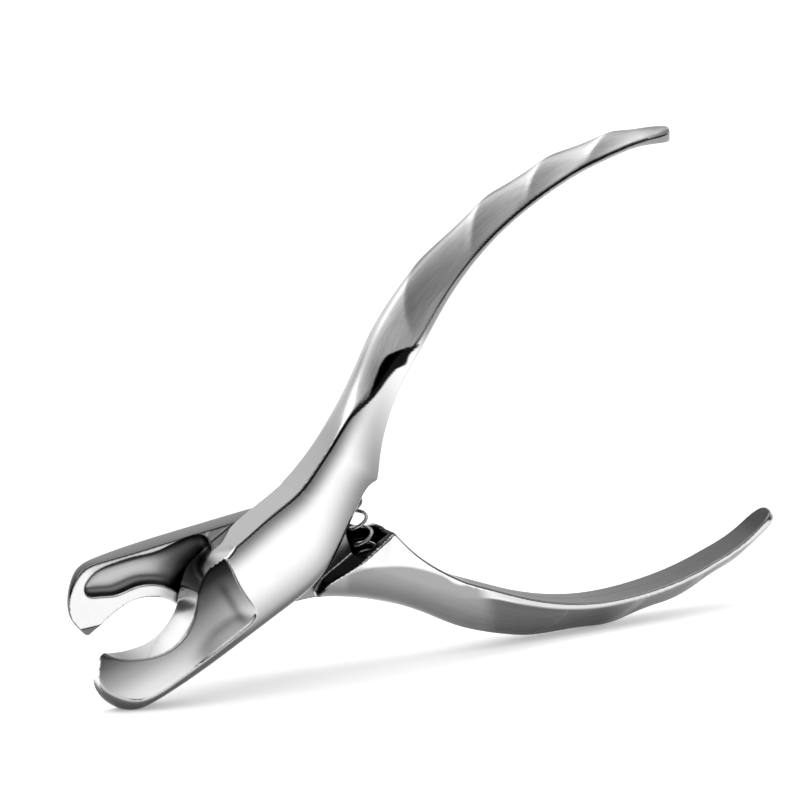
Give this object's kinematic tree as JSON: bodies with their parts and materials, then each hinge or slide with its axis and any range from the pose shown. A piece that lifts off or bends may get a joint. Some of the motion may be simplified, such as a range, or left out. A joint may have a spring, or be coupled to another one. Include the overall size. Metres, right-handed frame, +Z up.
{
  "type": "nutcracker",
  "caption": "Plier-type nutcracker: polished cast levers crossed at a pivot, round nut opening between the jaws, conical opening spring, shown standing open.",
  "frame": {"origin": "bottom centre of the tool's bounding box, on the surface it stands on, standing open at rest", "axes": "+X from the jaws towards the grips along the tool's length, +Y along the pivot axis to the side with the screw head, +Z up"},
  "size_m": [0.2356, 0.024, 0.1478],
  "materials": {
    "polished_body": "polished",
    "spring_steel": "satin",
    "screw_steel": "satin",
    "washer_steel": "satin"
  },
  "bodies": {
    "rear_lever": {"lever_rear": "polished_body", "thrust_washer": "washer_steel", "head_washer": "washer_steel", "pivot_cap": "polished_body", "return_spring": "spring_steel"},
    "front_lever": {"lever_front": "polished_body", "pivot_screw": "screw_steel"}
  },
  "joints": [
    {"name": "pivot", "type": "hinge", "parent": "rear_lever", "child": "front_lever", "pos_m": [-0.05517, 0, 0.03667], "axis": [0, 1, 0], "range_deg": [0, 22], "stiffness_Nm_per_rad": 1, "springref_deg": -28.65, "deforming": ["return_spring"]}
  ]
}
